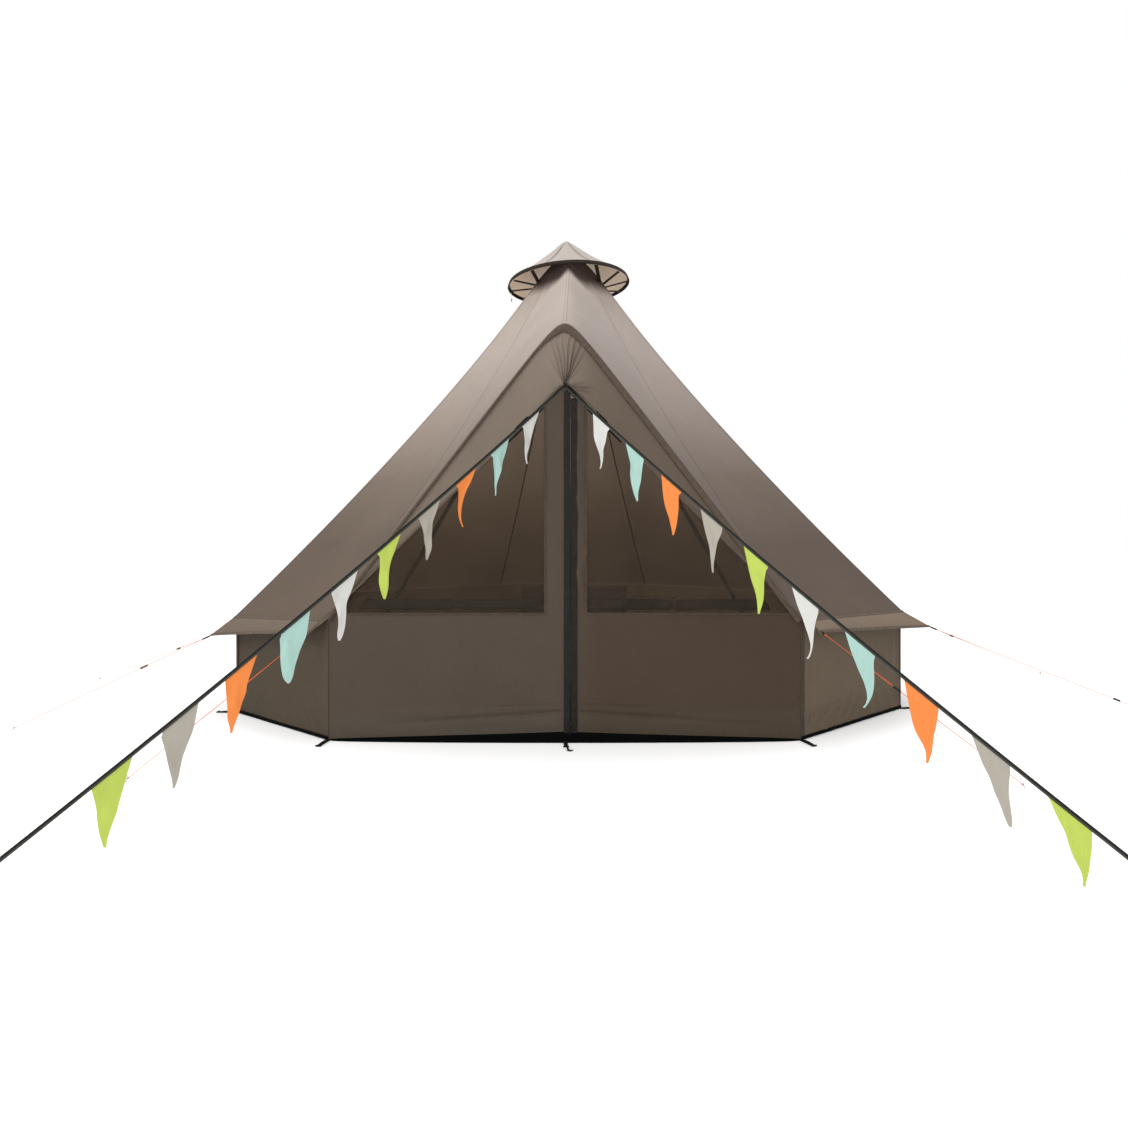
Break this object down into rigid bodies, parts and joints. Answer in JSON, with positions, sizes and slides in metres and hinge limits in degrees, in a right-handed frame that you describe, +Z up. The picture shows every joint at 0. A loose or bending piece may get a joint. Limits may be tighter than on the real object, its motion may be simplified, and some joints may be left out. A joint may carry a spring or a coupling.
{
  "type": "pyramid tent with an A-frame entrance",
  "caption": "Family pyramid tent: fabric roof on a centre pole, low walls, sewn-in floor, vent cap, netting door, guy lines and two bunting straps.",
  "frame": {"origin": "on the ground under the centre pole", "axes": "+Z up; -Y is the entrance side; +X is to the right of someone who faces the entrance"},
  "size_m": [7.039, 6.2752, 3.197],
  "materials": {
    "roof_cloth": "matt coated polyester with cotton look, taupe",
    "wall_cloth": "matt coated polyester, dark brown",
    "door_netting": "fine insect netting",
    "groundsheet_black": "coated floor sheet, black",
    "dark_webbing": "dark tape, zip and rolled blinds",
    "window_film": "tinted clear film",
    "pole_steel": "dark coated steel tube",
    "bunting_cloth": "thin woven pennants on a dark strap",
    "guy_orange": "braided orange cord"
  },
  "bodies": {
    "root": {"a_frame_left": "pole_steel", "a_frame_right": "pole_steel", "bunting_left": "bunting_cloth", "bunting_right": "bunting_cloth", "cap_cone": "roof_cloth", "cap_cord": "guy_orange", "cap_rim": "dark_webbing", "cap_stays": "dark_webbing", "centre_pole": "pole_steel", "cord_sleeve": "dark_webbing", "crown_patch": "dark_webbing", "door_left": "wall_cloth", "door_mesh_left": "door_netting", "door_mesh_right": "door_netting", "door_right": "wall_cloth", "front_sill": "groundsheet_black", "gable_left": "wall_cloth", "gable_right": "wall_cloth", "groundsheet": "groundsheet_black", "guy_back_left": "guy_orange", "guy_back_right": "guy_orange", "guy_front_left": "guy_orange", "guy_front_right": "guy_orange", "guy_rear_left": "guy_orange", "guy_rear_right": "guy_orange", "guy_side_left": "guy_orange", "guy_side_right": "guy_orange", "rolled_curtain_left": "dark_webbing", "rolled_curtain_right": "dark_webbing", "roof_back": "roof_cloth", "roof_back_left": "roof_cloth", "roof_back_right": "roof_cloth", "roof_front_left": "roof_cloth", "roof_front_right": "roof_cloth", "roof_left": "roof_cloth", "roof_right": "roof_cloth", "skirt_back": "roof_cloth", "skirt_back_left": "roof_cloth", "skirt_back_right": "roof_cloth", "skirt_front_left": "roof_cloth", "skirt_front_right": "roof_cloth", "skirt_left": "roof_cloth", "skirt_right": "roof_cloth", "wall_back": "wall_cloth", "wall_back_left": "wall_cloth", "wall_back_right": "wall_cloth", "wall_front_left": "wall_cloth", "wall_front_right": "wall_cloth", "wall_left": "wall_cloth", "wall_right": "wall_cloth", "window_back": "window_film", "zip_band": "dark_webbing"}
  },
  "joints": []
}
